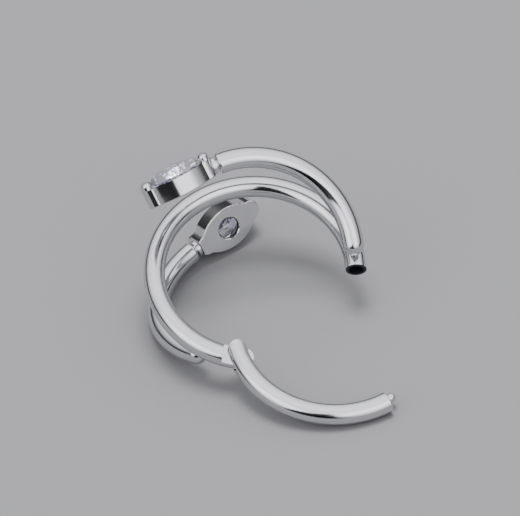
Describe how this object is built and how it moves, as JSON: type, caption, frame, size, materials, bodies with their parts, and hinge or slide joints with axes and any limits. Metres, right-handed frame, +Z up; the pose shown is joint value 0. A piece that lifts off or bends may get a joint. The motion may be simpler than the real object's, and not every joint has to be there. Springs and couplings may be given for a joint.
{
  "type": "hinged segment ring",
  "caption": "Small hinged piercing ring lying open: round wire with a snap-in hinged segment and bypass arms above and below that carry clear marquise stones in metal settings.",
  "frame": {"origin": "middle of the open ring's footprint, on the surface that it lies on", "axes": "+Z up from that surface; +Y towards the crown, the middle of the fixed wire; -Y towards the swung-out segment; the hinge is on the -X side. The ring's own axis leans 16 degrees from +Z, so that the crown is raised"},
  "size_m": [0.0124, 0.0184, 0.0095],
  "materials": {
    "polished_steel": "mirror polished surgical steel",
    "clear_stone": "clear faceted cubic zirconia"
  },
  "bodies": {
    "frame": {"ring_frame": "polished_steel", "setting_upper": "polished_steel", "setting_lower": "polished_steel", "stone_upper": "clear_stone", "stone_lower": "clear_stone"},
    "segment": {"segment": "polished_steel", "hinge_pin": "polished_steel"}
  },
  "joints": [
    {"name": "segment_hinge", "type": "hinge", "parent": "frame", "child": "segment", "pos_m": [-0.00375, -0.00199, 0.00209], "axis": [-0.0612, -0.261, 0.9634], "range_deg": [-30, 60]}
  ]
}
